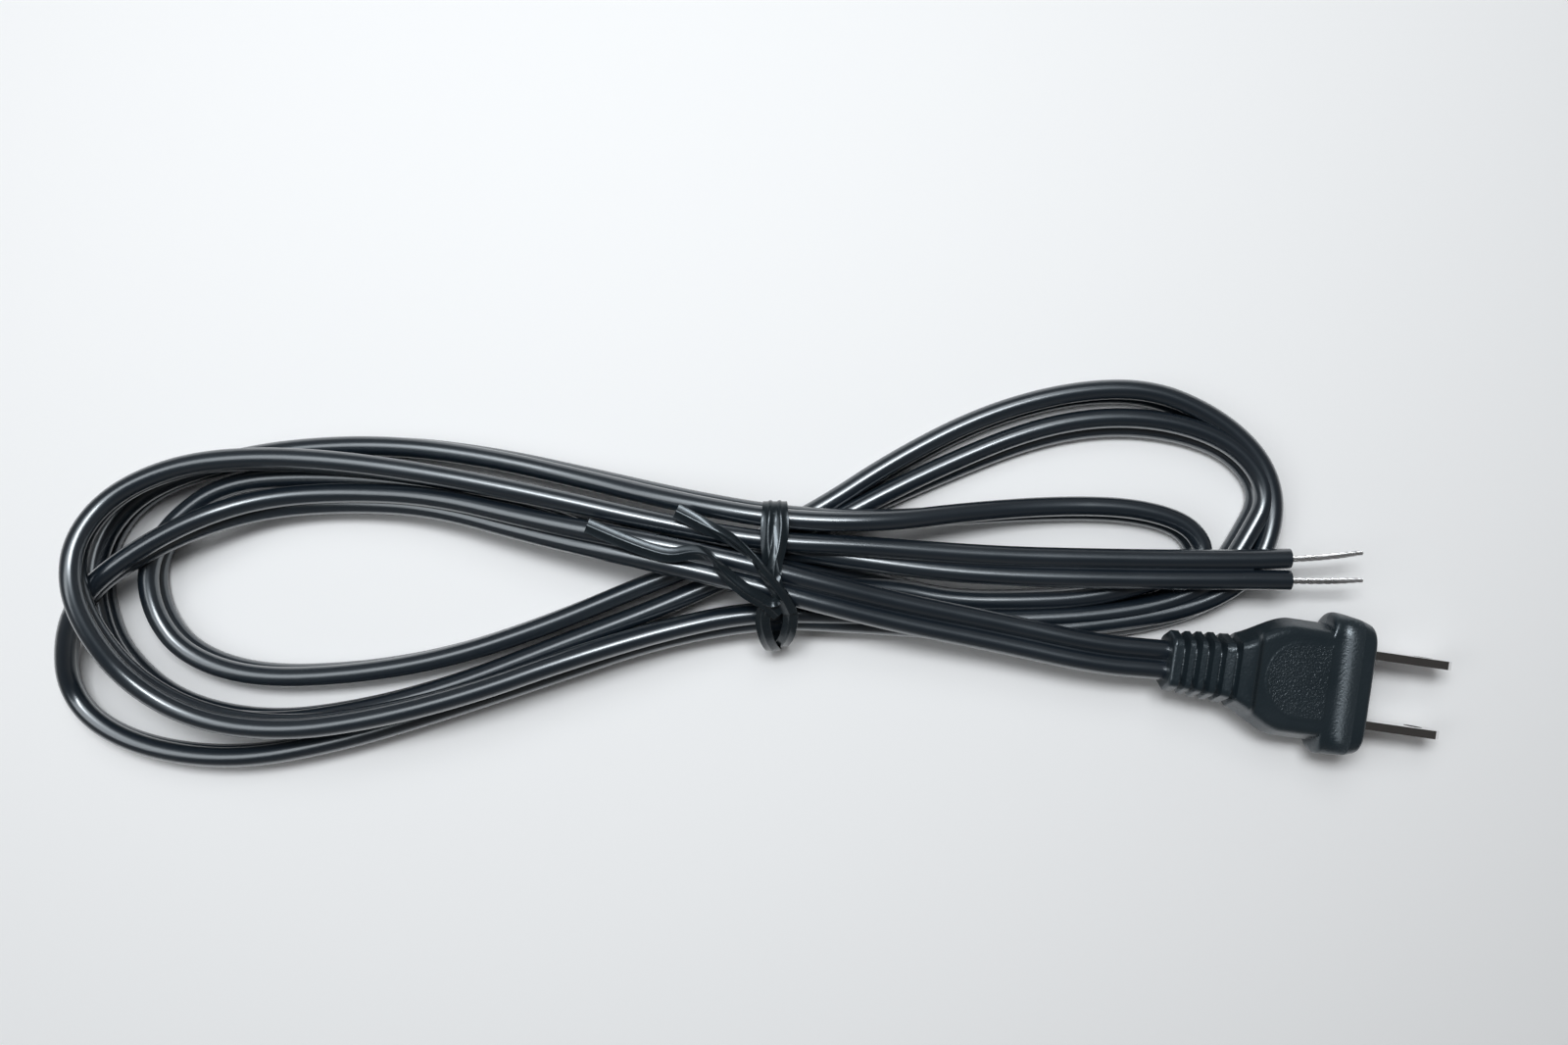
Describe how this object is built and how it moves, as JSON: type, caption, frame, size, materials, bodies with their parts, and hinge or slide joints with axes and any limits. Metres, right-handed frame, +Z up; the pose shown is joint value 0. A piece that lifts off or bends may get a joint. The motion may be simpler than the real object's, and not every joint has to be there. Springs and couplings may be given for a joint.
{
  "type": "power cord",
  "caption": "Flat two-conductor power cord with a moulded two-blade plug, tied as a figure-of-eight hank, its other end slit and stripped to bare wire.",
  "frame": {"origin": "centre of the base of the whole part's bounding box, on the surface that the hank lies on", "axes": "+X along the length of the hank, towards the plug's blades; +Z up from the surface that it lies on"},
  "size_m": [0.2561, 0.0728, 0.0168],
  "materials": {
    "cord_insulation": "glossy black extruded vinyl",
    "plug_moulding": "satin black moulded vinyl with a fine grain",
    "insert_plastic": "matt moulded insert",
    "plated_blade": "bright nickel plate on brass",
    "tinned_wire": "bright tinned stranded copper",
    "tie_film": "satin black film over a thin wire"
  },
  "bodies": {
    "root": {"cord": "cord_insulation", "conductor_1": "tinned_wire", "conductor_2": "tinned_wire", "blade_wide": "plated_blade", "blade_narrow": "plated_blade", "blade_carrier": "insert_plastic", "plug_body": "plug_moulding", "twist_tie": "tie_film"}
  },
  "joints": []
}
